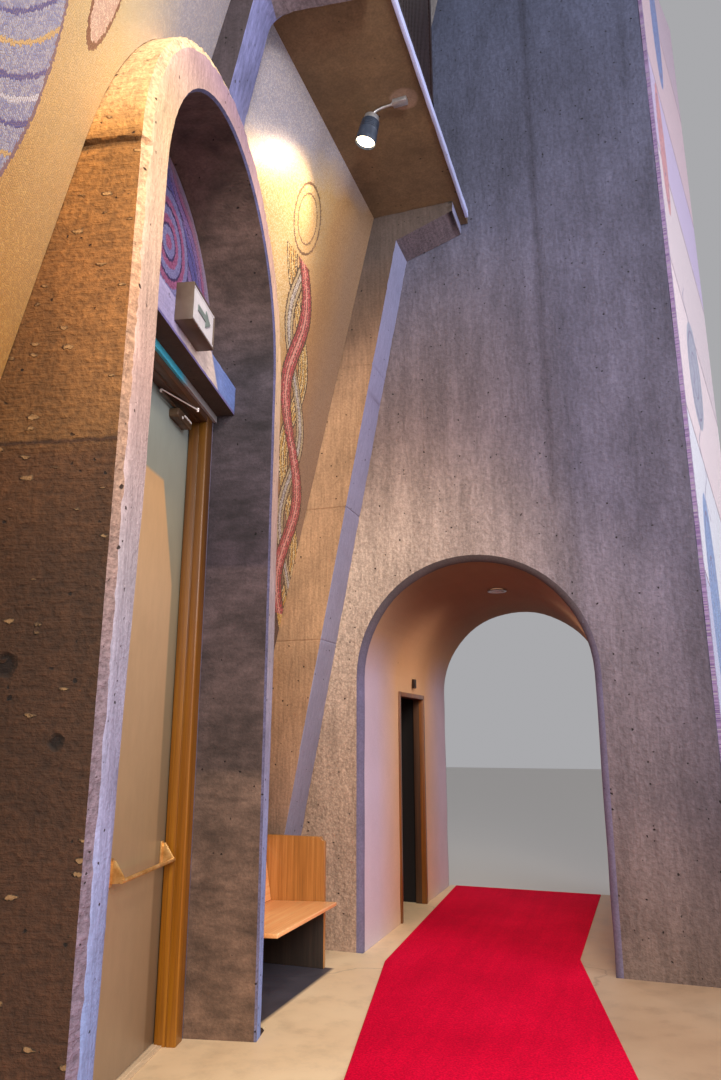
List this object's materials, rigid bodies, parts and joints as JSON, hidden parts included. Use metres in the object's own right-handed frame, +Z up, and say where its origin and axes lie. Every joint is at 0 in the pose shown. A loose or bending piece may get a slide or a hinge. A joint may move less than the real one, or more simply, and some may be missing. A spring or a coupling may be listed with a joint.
{
  "type": "bay of a concrete church interior",
  "caption": "Leaning mosaic-clad wall bay with an arched double doorway, ribs, gallery and bench, beside a deep pier with an arched passage",
  "frame": {"origin": "middle of the base, on the ground under the bay", "axes": "+Z up, +X toward the nave, +Y along the pier's passage, toward the pier"},
  "size_m": [5.3398, 9.0828, 9.05],
  "materials": {
    "concrete": "board-marked cast concrete, rough",
    "pale_concrete": "cast concrete, smoother and paler",
    "screed": "trowelled cement floor",
    "gold_mosaic": "small gold tesserae in mortar",
    "pale_mosaic": "small pale blue and rose tesserae",
    "purple_mosaic": "small violet, blue and red tesserae",
    "stained_wood": "stained and varnished",
    "bench_wood": "varnished",
    "door_paint": "satin paint",
    "brass": "satin",
    "dark_metal": "dark bronze paint",
    "steel": "satin",
    "sign_shell": "satin paint",
    "red_carpet": "cut pile"
  },
  "bodies": {
    "root": {"pier_wall_leg_near": "concrete", "pier_wall_leg_far": "concrete", "side_recess_back": "concrete", "pier_nave_leg": "concrete", "pier_head": "concrete", "pier_shaft": "concrete", "far_wall": "concrete", "near_wall": "concrete", "far_rib": "concrete", "near_rib": "concrete", "mid_rib": "concrete", "far_gallery_slab": "concrete", "near_gallery_slab": "concrete", "portal_near_wall": "concrete", "portal_far_wall": "concrete", "portal_vault": "concrete", "far_gallery_edge": "pale_concrete", "near_gallery_edge": "pale_concrete", "transom_beam": "pale_concrete", "door_threshold": "pale_concrete", "floor_slab": "screed", "far_mosaic": "gold_mosaic", "near_mosaic": "gold_mosaic", "pier_mosaic_near": "pale_mosaic", "pier_mosaic_far": "pale_mosaic", "tympanum": "purple_mosaic", "near_jamb": "stained_wood", "far_jamb": "stained_wood", "door_head": "stained_wood", "side_lining_near": "stained_wood", "side_lining_far": "stained_wood", "side_lining_head": "stained_wood", "bench_end_near": "bench_wood", "bench_end_far": "bench_wood", "bench_seat": "bench_wood", "bench_back": "bench_wood", "far_gallery_screen": "dark_metal", "near_gallery_screen": "dark_metal", "spotlight_head": "dark_metal", "side_door_sensor": "dark_metal", "head_trim": "steel", "passage_downlight": "steel", "spotlight_bracket": "steel", "exit_sign": "sign_shell", "carpet_runner": "red_carpet"},
    "far_door": {"far_leaf": "door_paint", "far_panic_bar": "brass", "far_closer": "dark_metal"},
    "near_door": {"near_leaf": "door_paint", "near_panic_bar": "brass", "near_closer": "dark_metal"}
  },
  "joints": [
    {"name": "far_door_swing", "type": "hinge", "parent": "root", "child": "far_door", "pos_m": [-1.45152, -0.51832, 1.95], "axis": [0, 0, -1], "range_deg": [0, 90], "stiffness_Nm_per_rad": 20, "springref_deg": -11.46},
    {"name": "near_door_swing", "type": "hinge", "parent": "root", "child": "near_door", "pos_m": [-1.09017, -2.21834, 1.95], "axis": [0, 0, 1], "range_deg": [0, 90], "stiffness_Nm_per_rad": 20, "springref_deg": -11.46}
  ]
}
